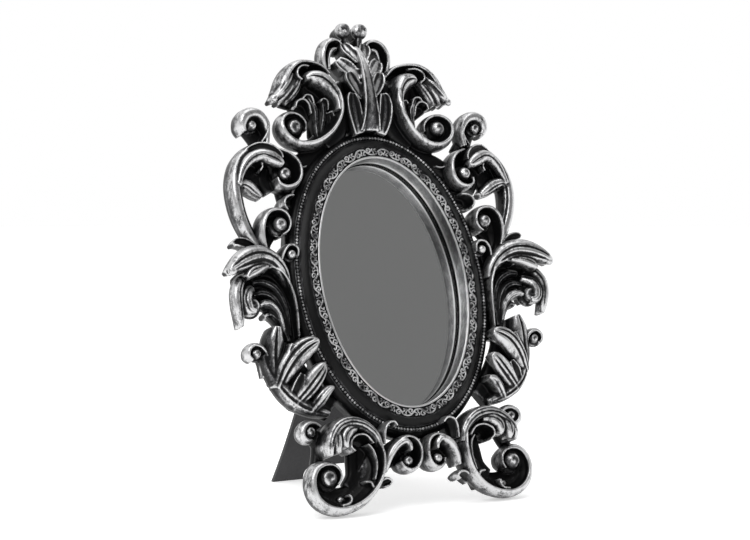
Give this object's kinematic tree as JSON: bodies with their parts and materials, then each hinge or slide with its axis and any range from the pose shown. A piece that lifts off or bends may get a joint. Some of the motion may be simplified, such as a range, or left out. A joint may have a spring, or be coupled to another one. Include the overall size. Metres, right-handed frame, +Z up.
{
  "type": "table mirror",
  "caption": "Free-standing oval table mirror: glass in a deep scrolled and leafed casting, black board back with turn buttons, hinged easel strut that folds flat.",
  "frame": {"origin": "on the table, under the middle of the standing mirror's box", "axes": "+Z up, -Y the way the glass faces, +X to the right of a person looking at the glass"},
  "size_m": [0.26, 0.1501, 0.3335],
  "materials": {
    "antique_silver": "cast resin, black ground with dry-brushed silver on the high parts, satin",
    "black_moulding": "cast resin, satin black with a little rubbed silver",
    "lip_silver": "cast resin, brushed silver paint, worn",
    "relief_silver": "cast resin, silver paint rubbed over black",
    "clear_glass": "polished",
    "silvering": "silvered",
    "card": "grey board",
    "black_board": "hardboard faced with black paper",
    "strut_board": "hardboard faced with charcoal paper",
    "hinge_steel": "zinc plated sheet",
    "rivet_steel": "zinc plated",
    "screw_steel": "zinc plated",
    "button_steel": "black lacquered sheet steel"
  },
  "bodies": {
    "casting": {"back_board": "black_board", "backing_card": "card", "bead_band": "relief_silver", "board_rivets": "rivet_steel", "bottom_curl_left": "antique_silver", "bottom_curl_right": "antique_silver", "bottom_scroll_left": "antique_silver", "bottom_scroll_right": "antique_silver", "button_screws": "screw_steel", "crest_bud_left": "antique_silver", "crest_bud_right": "antique_silver", "crest_hood_left": "antique_silver", "crest_hood_right": "antique_silver", "crest_leaves_left": "antique_silver", "crest_leaves_right": "antique_silver", "crest_plume": "antique_silver", "crest_top_scroll_left": "antique_silver", "crest_top_scroll_right": "antique_silver", "crest_volute_left": "antique_silver", "crest_volute_right": "antique_silver", "filigree_band": "relief_silver", "foot_curl_left": "antique_silver", "foot_curl_right": "antique_silver", "foot_leaf_left": "antique_silver", "foot_leaf_right": "antique_silver", "foot_scroll_left": "antique_silver", "foot_scroll_right": "antique_silver", "frame_moulding": "black_moulding", "hinge_pin": "hinge_steel", "hinge_plate": "hinge_steel", "inner_spiral_left": "antique_silver", "inner_spiral_right": "antique_silver", "lower_leaf_left": "antique_silver", "lower_leaf_right": "antique_silver", "mid_leaf_left": "antique_silver", "mid_leaf_right": "antique_silver", "mid_volute_left": "antique_silver", "mid_volute_right": "antique_silver", "mirror_glass": "clear_glass", "mirror_silvering": "silvering", "shoulder_scroll_left": "antique_silver", "shoulder_scroll_right": "antique_silver", "side_bud_left": "antique_silver", "side_bud_right": "antique_silver", "side_crescent_left": "antique_silver", "side_crescent_right": "antique_silver", "sight_edge_lip": "lip_silver", "small_ball_left": "antique_silver", "small_ball_right": "antique_silver", "small_scroll_left": "antique_silver", "small_scroll_right": "antique_silver", "toe_curl_left": "antique_silver", "toe_curl_right": "antique_silver"},
    "strut": {"easel_strut": "strut_board", "hinge_leaf": "hinge_steel", "strut_rivets": "rivet_steel"},
    "turn_button_1": {"turn_button_1": "button_steel"},
    "turn_button_2": {"turn_button_2": "button_steel"},
    "turn_button_3": {"turn_button_3": "button_steel"},
    "turn_button_4": {"turn_button_4": "button_steel"}
  },
  "joints": [
    {"name": "strut_fold", "type": "hinge", "parent": "casting", "child": "strut", "pos_m": [0, 0.01716, 0.21772], "axis": [1, 0, 0], "range_deg": [-32, 0]},
    {"name": "button_1_turn", "type": "hinge", "parent": "casting", "child": "turn_button_1", "pos_m": [0.05674, 0.01052, 0.20732], "axis": [0, 0.9483, -0.3173], "range_deg": [-90, 90]},
    {"name": "button_2_turn", "type": "hinge", "parent": "casting", "child": "turn_button_2", "pos_m": [-0.05674, 0.01052, 0.20732], "axis": [0, 0.9483, -0.3173], "range_deg": [-90, 90]},
    {"name": "button_3_turn", "type": "hinge", "parent": "casting", "child": "turn_button_3", "pos_m": [-0.05674, -0.03012, 0.08588], "axis": [0, 0.9483, -0.3173], "range_deg": [-90, 90]},
    {"name": "button_4_turn", "type": "hinge", "parent": "casting", "child": "turn_button_4", "pos_m": [0.05674, -0.03012, 0.08588], "axis": [0, 0.9483, -0.3173], "range_deg": [-90, 90]}
  ]
}
